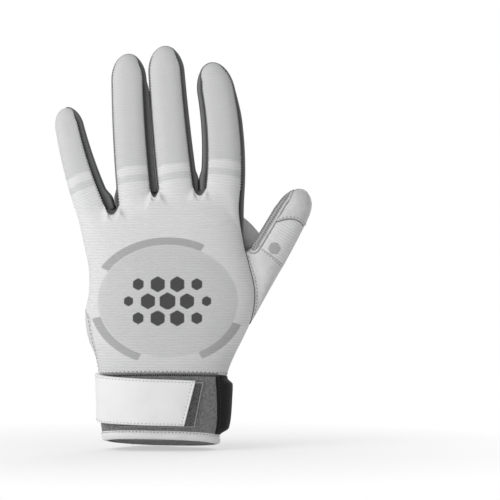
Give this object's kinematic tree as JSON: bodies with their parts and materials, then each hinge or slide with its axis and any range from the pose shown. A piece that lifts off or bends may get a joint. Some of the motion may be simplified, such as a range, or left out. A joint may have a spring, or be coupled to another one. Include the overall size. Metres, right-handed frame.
{
  "type": "padded inner glove",
  "caption": "Left-hand padded inner glove: knit back, leather palm with raised foam pads, dark finger sides, cuff with strap and pull tab; fingers and thumb bend.",
  "frame": {"origin": "middle of the wrist mouth at the level of the hem", "axes": "+Z from the wrist to the fingertips, +X to the thumb side, +Y out of the palm"},
  "size_m": [0.1508, 0.0552, 0.2386],
  "materials": {
    "knit": "fine stretch knit",
    "leather": "soft grained leather",
    "foam": "soft foam",
    "side_cloth": "dark stretch cloth",
    "thumb_strip": "grey perforated cloth",
    "cuff_cloth": "heather cloth",
    "hem_binding": "white binding",
    "black_elastic": "padded elastic",
    "loop_tape": "loop pile",
    "hook_tape": "hook tape",
    "strap_leather": "smooth white leather",
    "black_webbing": "flat webbing"
  },
  "bodies": {
    "hand": {"back_panel": "knit", "palm_panel": "leather", "palm_foam": "foam", "little_ring_crotch": "side_cloth", "ring_middle_crotch": "side_cloth", "middle_index_crotch": "side_cloth", "index_side_strip": "side_cloth", "wrist_side_gusset": "knit", "thumb_sleeve": "leather", "cuff_band": "cuff_cloth", "cuff_hem": "hem_binding", "elastic_gusset": "black_elastic", "loop_patch": "loop_tape"},
    "little_lower": {"little_lower_back": "knit", "little_lower_palm": "leather", "little_lower_side_inner": "side_cloth"},
    "little_upper": {"little_upper_back": "knit", "little_upper_palm": "leather", "little_upper_side": "side_cloth"},
    "ring_lower": {"ring_lower_back": "knit", "ring_lower_palm": "leather", "ring_lower_side_inner": "side_cloth", "ring_lower_side_outer": "side_cloth", "ring_lower_foam": "foam"},
    "ring_upper": {"ring_upper_back": "knit", "ring_upper_palm": "leather", "ring_upper_side": "side_cloth"},
    "middle_lower": {"middle_lower_back": "knit", "middle_lower_palm": "leather", "middle_lower_side_inner": "side_cloth", "middle_lower_side_outer": "side_cloth", "middle_lower_foam": "foam"},
    "middle_upper": {"middle_upper_back": "knit", "middle_upper_palm": "leather", "middle_upper_side": "side_cloth", "middle_upper_foam": "foam"},
    "index_lower": {"index_lower_back": "knit", "index_lower_palm": "leather", "index_lower_side_inner": "side_cloth", "index_lower_side_outer": "side_cloth", "index_lower_foam": "foam"},
    "index_upper": {"index_upper_back": "knit", "index_upper_palm": "leather", "index_upper_side": "side_cloth", "index_upper_foam": "foam"},
    "thumb_lower": {"thumb_lower_back": "knit", "thumb_lower_palm": "leather", "thumb_side_strip": "thumb_strip"},
    "thumb_upper": {"thumb_cap": "leather", "thumb_tip_palm": "leather"},
    "strap": {"strap": "strap_leather", "hook_patch": "hook_tape"},
    "pull_tab": {"pull_tab": "black_webbing"}
  },
  "joints": [
    {"name": "little_root_bend", "type": "hinge", "parent": "hand", "child": "little_lower", "pos_m": [-0.04208, 0.01225, 0.13925], "axis": [-1, 0, 0], "range_deg": [0, 80], "stiffness_Nm_per_rad": 0.01},
    {"name": "little_middle_bend", "type": "hinge", "parent": "little_lower", "child": "little_upper", "pos_m": [-0.04901, 0.01192, 0.16038], "axis": [-0.9608, 0, -0.2771], "range_deg": [0, 95], "stiffness_Nm_per_rad": 0.01},
    {"name": "ring_root_bend", "type": "hinge", "parent": "hand", "child": "ring_lower", "pos_m": [-0.01675, 0.01196, 0.1448], "axis": [-1, 0, 0], "range_deg": [0, 80], "stiffness_Nm_per_rad": 0.01},
    {"name": "ring_middle_bend", "type": "hinge", "parent": "ring_lower", "child": "ring_upper", "pos_m": [-0.01915, 0.01171, 0.17129], "axis": [-0.9971, 0, -0.076], "range_deg": [0, 95], "stiffness_Nm_per_rad": 0.01},
    {"name": "middle_root_bend", "type": "hinge", "parent": "hand", "child": "middle_lower", "pos_m": [0.00755, 0.01154, 0.1503], "axis": [-1, 0, 0], "range_deg": [0, 80], "stiffness_Nm_per_rad": 0.01},
    {"name": "middle_middle_bend", "type": "hinge", "parent": "middle_lower", "child": "middle_upper", "pos_m": [0.00486, 0.01129, 0.17391], "axis": [-0.9944, 0, -0.1052], "range_deg": [0, 95], "stiffness_Nm_per_rad": 0.01},
    {"name": "index_root_bend", "type": "hinge", "parent": "hand", "child": "index_lower", "pos_m": [0.0332, 0.01211, 0.14975], "axis": [-1, 0, 0], "range_deg": [0, 80], "stiffness_Nm_per_rad": 0.01},
    {"name": "index_middle_bend", "type": "hinge", "parent": "index_lower", "child": "index_upper", "pos_m": [0.03403, 0.01169, 0.169], "axis": [-1, 0, 0.0021], "range_deg": [0, 95], "stiffness_Nm_per_rad": 0.01},
    {"name": "thumb_root_bend", "type": "hinge", "parent": "hand", "child": "thumb_lower", "pos_m": [0.0606, 0.0144, 0.1102], "axis": [-0.8572, 0, 0.515], "range_deg": [0, 50], "stiffness_Nm_per_rad": 0.01},
    {"name": "thumb_tip_bend", "type": "hinge", "parent": "thumb_lower", "child": "thumb_upper", "pos_m": [0.0711, 0.0138, 0.12839], "axis": [-0.8749, 0, 0.4843], "range_deg": [0, 60], "stiffness_Nm_per_rad": 0.01},
    {"name": "strap_peel", "type": "hinge", "parent": "hand", "child": "strap", "pos_m": [-0.03983, -0.00136, 0.0266], "axis": [0, 0, -1], "range_deg": [0, 120]},
    {"name": "pull_tab_swing", "type": "hinge", "parent": "hand", "child": "pull_tab", "pos_m": [-0.005, 0.0219, 0.0368], "axis": [1, 0, 0], "range_deg": [0, 120]}
  ]
}
